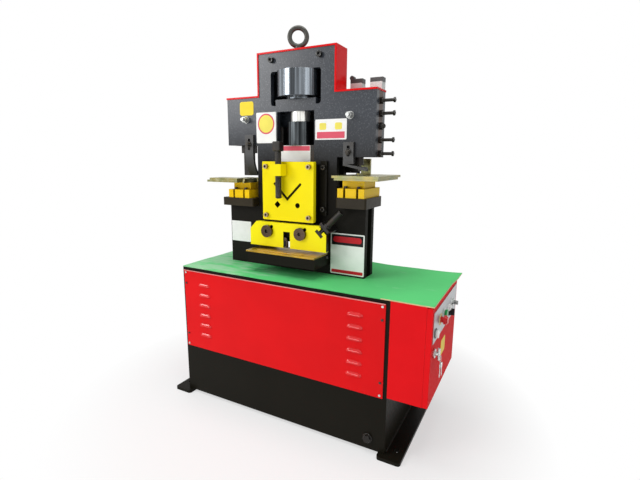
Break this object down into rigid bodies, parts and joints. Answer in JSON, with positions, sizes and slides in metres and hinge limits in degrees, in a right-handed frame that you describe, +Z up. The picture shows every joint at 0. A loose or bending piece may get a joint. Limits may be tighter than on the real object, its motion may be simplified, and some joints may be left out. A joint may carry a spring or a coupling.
{
  "type": "hydraulic ironworker machine",
  "caption": "Free-standing hydraulic ironworker with angle shear, flat-bar shear, punch and notching stations on a steel cabinet base with an electric box.",
  "frame": {"origin": "on the floor at the centre of the anchor-hole pattern", "axes": "+X to the operator's right, +Y to the back, +Z up"},
  "size_m": [1.197, 0.53, 1.598],
  "materials": {
    "red_paint": "gloss",
    "black_paint": "satin",
    "slate_paint": "textured",
    "yellow_paint": "gloss",
    "green_rubber": "matte",
    "bright_steel": "satin",
    "dark_steel": "oiled",
    "zinc_plate": "plated",
    "chrome": "polished",
    "grey_plate": "satin",
    "grey_plastic": "matte",
    "black_plastic": "matte",
    "red_plastic": "gloss",
    "green_plastic": "gloss",
    "clear_lens": "gloss"
  },
  "bodies": {
    "frame": {"base_frame": "black_paint", "front_panel": "red_paint", "cover_panels": "red_paint", "skids": "black_paint", "top_mat": "green_rubber", "panel_screws": "bright_steel", "drain_plug": "dark_steel", "electric_box": "red_paint", "door_hinges": "dark_steel", "contactors": "grey_plastic", "front_plate": "slate_paint", "rear_plate": "slate_paint", "plate_spacers": "black_paint", "frame_bolts": "dark_steel", "edge_cover": "red_paint", "eyebolt": "dark_steel", "gibs": "dark_steel", "gib_screws": "dark_steel", "cylinder_tube": "bright_steel", "cylinder_seat": "slate_paint", "blade_block": "black_paint", "angle_plate": "yellow_paint", "socket_screws": "dark_steel", "keepers": "black_paint", "guide_screws": "dark_steel", "adjust_bracket": "dark_steel", "shear_table": "zinc_plate", "table_block": "black_paint", "lower_blade": "bright_steel", "bolsters": "black_paint", "die_holders": "yellow_paint", "dies": "bright_steel", "support_tables": "zinc_plate", "limit_switches": "grey_plastic", "power_pack": "slate_paint", "oil_pipe": "dark_steel", "rear_cover": "black_paint"},
    "ram": {"piston_rod": "chrome", "rod_coupling": "dark_steel", "ram_beam": "dark_steel", "moving_blade": "bright_steel", "upper_blade": "bright_steel", "punch_holder": "dark_steel", "punch": "bright_steel", "notch_punch": "dark_steel"},
    "clamp_screw": {"holddown_screw": "dark_steel"},
    "flat_clamp": {"holddown_plate": "yellow_paint", "adjust_spindle": "dark_steel"},
    "knob": {"adjust_knob": "dark_steel"},
    "right_stripper": {"stripper_right": "dark_steel"},
    "left_stripper": {"stripper_left": "dark_steel"},
    "door": {"electric_door": "red_paint", "control_plate": "grey_plate", "pilot_lamp": "clear_lens"},
    "latch": {"door_latch": "bright_steel"},
    "estop": {"estop_button": "red_plastic"},
    "green_push": {"green_button": "green_plastic"},
    "white_push": {"white_button": "grey_plastic"},
    "selector": {"selector_switch": "black_plastic"},
    "key": {"key_switch": "black_plastic"}
  },
  "joints": [
    {"name": "ram_slide", "type": "slide", "parent": "frame", "child": "ram", "axis": [0, 0, -1], "range_m": [0, 0.03]},
    {"name": "clamp_feed", "type": "slide", "parent": "frame", "child": "clamp_screw", "axis": [0, 0, -1], "range_m": [-0.05, 0.045]},
    {"name": "knob_turn", "type": "hinge", "parent": "frame", "child": "knob", "pos_m": [0.138, -0.1083, 0.7825], "axis": [0.7071, 0, 0.7071], "range_deg": [0, 1152]},
    {"name": "flat_clamp_slide", "type": "slide", "parent": "frame", "child": "flat_clamp", "axis": [-0.7071, 0, -0.7071], "range_m": [0, 0.016]},
    {"name": "right_stripper_slide", "type": "slide", "parent": "frame", "child": "right_stripper", "axis": [0, 0, 1], "range_m": [-0.006, 0.008]},
    {"name": "left_stripper_slide", "type": "slide", "parent": "frame", "child": "left_stripper", "axis": [0, 0, 1], "range_m": [-0.008, 0.016]},
    {"name": "door_hinge", "type": "hinge", "parent": "frame", "child": "door", "pos_m": [0.617, 0.199, 0.419], "axis": [0, 0, 1], "range_deg": [0, 110]},
    {"name": "latch_turn", "type": "hinge", "parent": "door", "child": "latch", "pos_m": [0.624, -0.194, 0.425], "axis": [1, 0, 0], "range_deg": [0, 90]},
    {"name": "estop_press", "type": "slide", "parent": "door", "child": "estop", "axis": [-1, 0, 0], "range_m": [0, 0.006], "stiffness_N_per_m": 1500},
    {"name": "green_press", "type": "slide", "parent": "door", "child": "green_push", "axis": [-1, 0, 0], "range_m": [0, 0.004], "stiffness_N_per_m": 1000},
    {"name": "white_press", "type": "slide", "parent": "door", "child": "white_push", "axis": [-1, 0, 0], "range_m": [0, 0.004], "stiffness_N_per_m": 1000},
    {"name": "selector_turn", "type": "hinge", "parent": "door", "child": "selector", "pos_m": [0.626, 0.048, 0.496], "axis": [1, 0, 0], "range_deg": [-45, 45]},
    {"name": "key_turn", "type": "hinge", "parent": "door", "child": "key", "pos_m": [0.626, 0.09, 0.522], "axis": [1, 0, 0], "range_deg": [0, 90]}
  ],
  "couplings": [
    {"joint": "knob_turn", "follows": "flat_clamp_slide", "rad_per_m": 1256.6}
  ]
}
